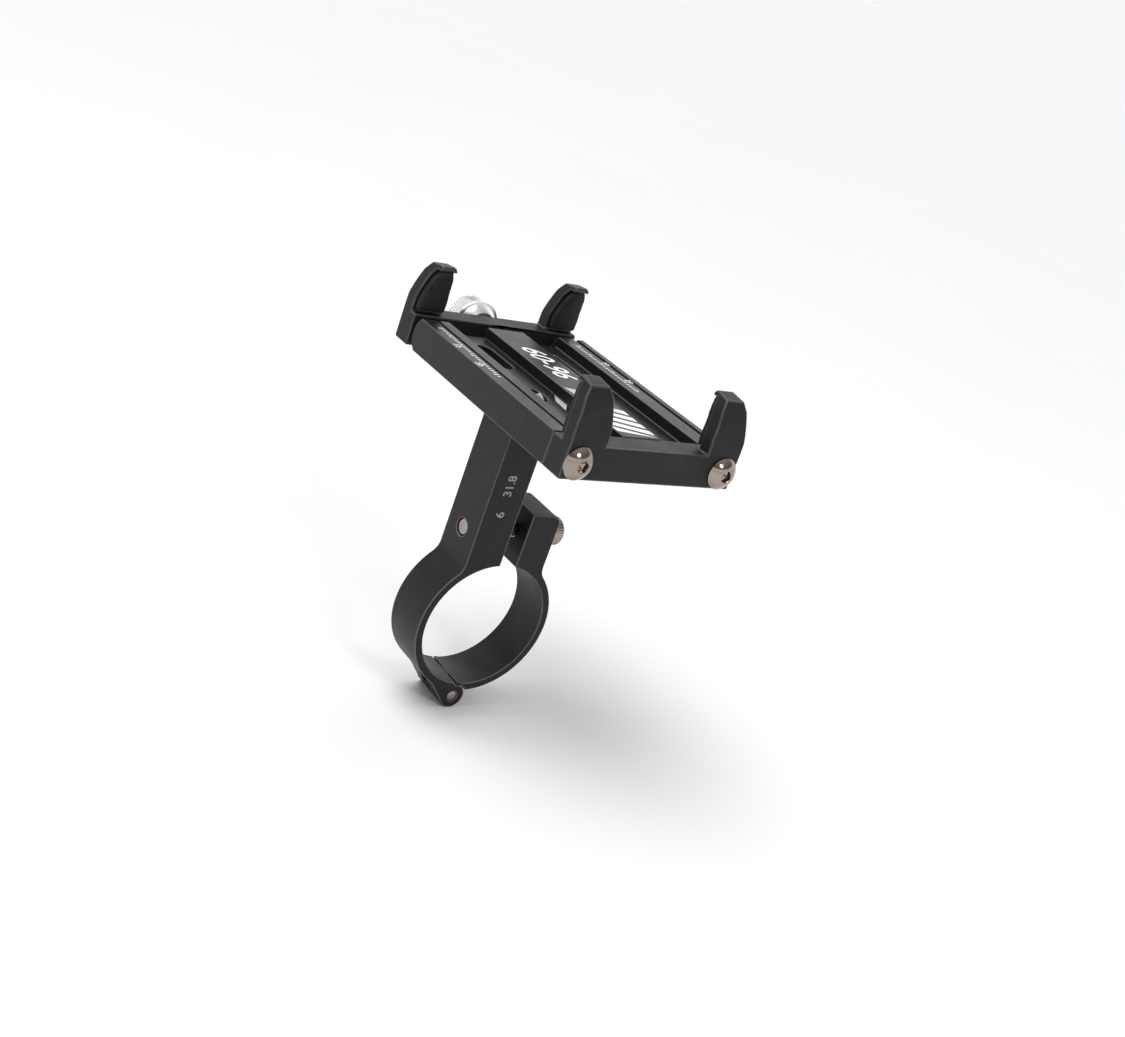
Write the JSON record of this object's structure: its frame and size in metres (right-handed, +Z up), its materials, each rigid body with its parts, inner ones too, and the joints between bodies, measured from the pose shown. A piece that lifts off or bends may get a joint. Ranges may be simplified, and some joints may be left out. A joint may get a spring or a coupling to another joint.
{
  "type": "bicycle handlebar phone mount",
  "caption": "Handlebar phone mount: hinged bar clamp with a tall riser, a turning tray, and a fixed and a screw-driven sliding jaw with padded claws.",
  "frame": {"origin": "centre of the handlebar bore, at the middle of the clamp's width", "axes": "+Y along the handlebar, +Z up the riser, +X away from the rider"},
  "size_m": [0.0498, 0.0824, 0.0937],
  "materials": {
    "black_anodised": "satin",
    "silver_anodised": "satin",
    "stainless": "polished",
    "black_steel": "satin",
    "rubber": "matte",
    "brass": "satin",
    "nylon": "matte"
  },
  "bodies": {
    "clamp_base": {"riser_clamp_half": "black_anodised", "hinge_pin": "black_steel", "turn_washer": "nylon", "wave_washer": "stainless", "pivot_screw": "stainless"},
    "clamp_rear": {"clamp_rear_half": "black_anodised"},
    "clamp_washer_body": {"clamp_washer": "stainless"},
    "clamp_screw_body": {"clamp_screw": "stainless"},
    "tray": {"tray_body": "black_anodised", "lead_nut": "brass", "fixed_jaw": "black_anodised", "fixed_jaw_screws": "stainless", "fixed_jaw_pad_front": "rubber", "fixed_jaw_pad_rear": "rubber"},
    "sliding_jaw": {"moving_jaw": "black_anodised", "guide_rod_front": "stainless", "guide_rod_rear": "stainless", "moving_jaw_pad_front": "rubber", "moving_jaw_pad_rear": "rubber"},
    "knob_and_screw": {"lead_screw": "stainless", "screw_clip": "black_steel", "knob_hub": "black_steel", "adjusting_knob": "silver_anodised", "knob_grub_screw": "black_steel"}
  },
  "joints": [
    {"name": "clamp_washer_slide", "type": "slide", "parent": "clamp_base", "child": "clamp_washer_body", "axis": [-1, 0, 0], "range_m": [0, 0.0021]},
    {"name": "clamp_screw_spin", "type": "hinge", "parent": "clamp_washer_body", "child": "clamp_screw_body", "pos_m": [-0.012, 0, 0.0226], "axis": [-1, 0, 0], "range_deg": [0, 1081]},
    {"name": "clamp_hinge", "type": "hinge", "parent": "clamp_base", "child": "clamp_rear", "pos_m": [0.0018, 0, -0.0194], "axis": [0, -1, 0], "range_deg": [0, 2.6]},
    {"name": "tray_turn", "type": "hinge", "parent": "clamp_base", "child": "tray", "pos_m": [0.0044, 0, 0.0507], "axis": [0, 0, 1], "continuous": true},
    {"name": "jaw_slide", "type": "slide", "parent": "tray", "child": "sliding_jaw", "axis": [0, -1, 0], "range_m": [-0.001, 0.034]},
    {"name": "knob_spin", "type": "hinge", "parent": "sliding_jaw", "child": "knob_and_screw", "pos_m": [-0.00805, -0.047, 0.05465], "axis": [0, -1, 0], "range_deg": [-451, 15301]}
  ],
  "couplings": [
    {"joint": "clamp_screw_spin", "follows": "clamp_washer_slide", "rad_per_m": 8976},
    {"joint": "clamp_hinge", "follows": "clamp_washer_slide", "rad_per_m": 21.429},
    {"joint": "knob_spin", "follows": "jaw_slide", "rad_per_m": 7854}
  ]
}
